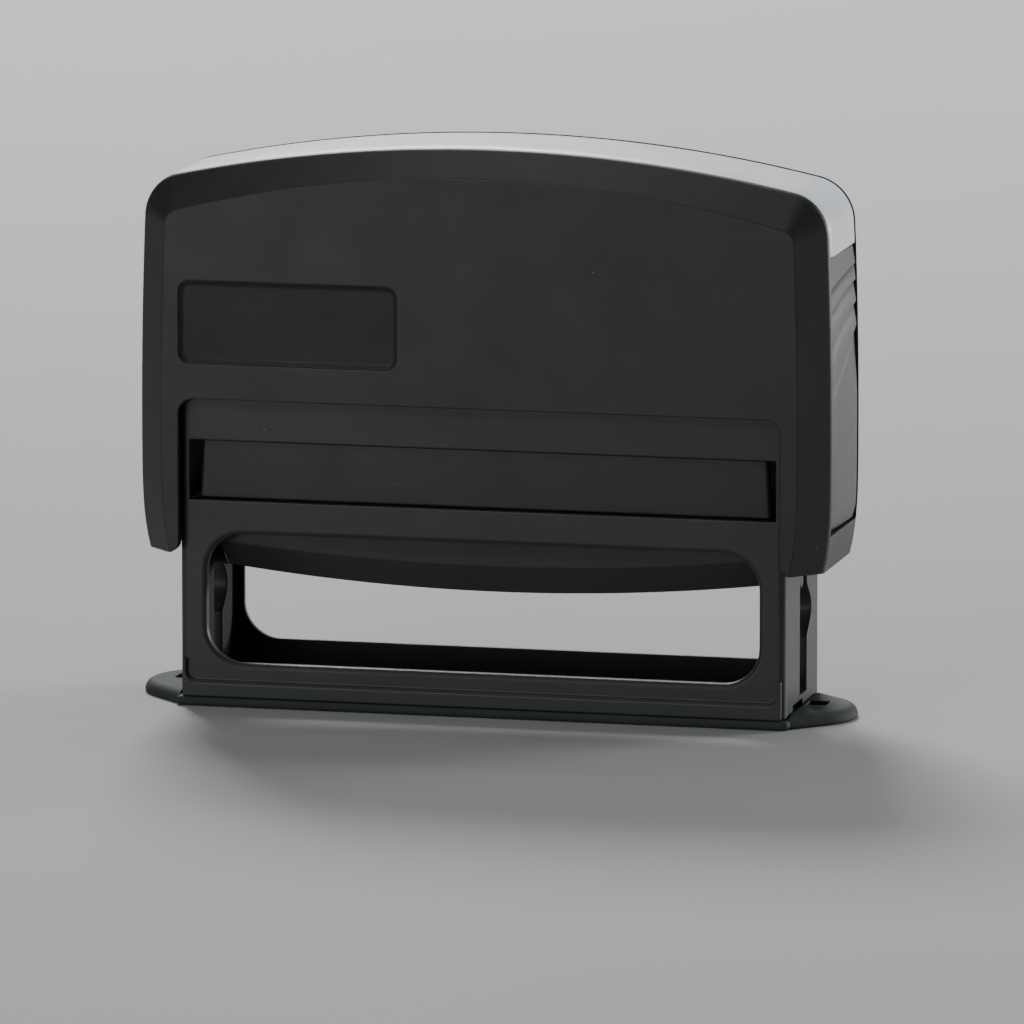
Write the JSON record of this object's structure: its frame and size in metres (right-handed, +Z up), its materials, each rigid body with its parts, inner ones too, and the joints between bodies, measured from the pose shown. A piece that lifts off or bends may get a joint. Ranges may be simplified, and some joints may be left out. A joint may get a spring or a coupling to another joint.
{
  "type": "self inking stamp",
  "caption": "Wide self-inking text stamp: press the cap and the die carrier turns over from the ink pad to the paper.",
  "frame": {"origin": "on the table under the middle of the frame", "axes": "+X along the text to the reader's right, -Y towards the front, +Z up"},
  "size_m": [0.095, 0.0253, 0.074],
  "materials": {
    "cap_plastic": "fine satin black ABS",
    "frame_plastic": "fine satin black ABS",
    "base_plastic": "satin black ABS",
    "cover_plastic": "satin silver-grey ABS",
    "grip_plastic": "glossy mid-grey ABS",
    "label_film": "glossy black film, blank",
    "inner_plastic": "grey moulded plastic",
    "carrier_plastic": "black moulded plastic",
    "tray_plastic": "semi-gloss black plastic",
    "button_plastic": "satin grey plastic",
    "spring_steel": "drawn spring wire",
    "pin_steel": "ground steel",
    "foam": "closed-cell foam",
    "die_rubber": "laser-engraved stamp rubber",
    "felt": "felt soaked in black ink"
  },
  "bodies": {
    "frame": {"frame": "frame_plastic", "base_plate": "base_plastic", "return_spring_left": "spring_steel", "return_spring_right": "spring_steel"},
    "cap": {"cap_shell": "cap_plastic", "top_cover": "cover_plastic", "side_grip_left": "grip_plastic", "side_grip_right": "grip_plastic", "front_label": "label_film", "drive_yoke": "inner_plastic", "axle_pin_left": "pin_steel", "axle_pin_right": "pin_steel", "button_spring": "spring_steel"},
    "die_carrier": {"die_carrier": "carrier_plastic", "die_cushion": "foam", "rubber_die": "die_rubber"},
    "ink_cartridge": {"pad_tray": "tray_plastic", "ink_felt": "felt"},
    "lock_button": {"lock_button": "button_plastic"}
  },
  "joints": [
    {"name": "cap_press", "type": "slide", "parent": "frame", "child": "cap", "axis": [0, 0, -1], "range_m": [0, 0.017], "stiffness_N_per_m": 400, "springref_m": -0.015, "deforming": ["return_spring_left", "return_spring_right"]},
    {"name": "carrier_flip", "type": "hinge", "parent": "cap", "child": "die_carrier", "pos_m": [0, 0, 0.02205], "axis": [1, 0, 0], "range_deg": [0, 180]},
    {"name": "cartridge_slide", "type": "slide", "parent": "frame", "child": "ink_cartridge", "axis": [0, 1, 0], "range_m": [0, 0.024]},
    {"name": "button_push", "type": "slide", "parent": "cap", "child": "lock_button", "axis": [0, -1, 0], "range_m": [0, 0.0012], "stiffness_N_per_m": 300}
  ],
  "couplings": [
    {"joint": "carrier_flip", "follows": "cap_press", "rad_per_m": 184.8}
  ]
}
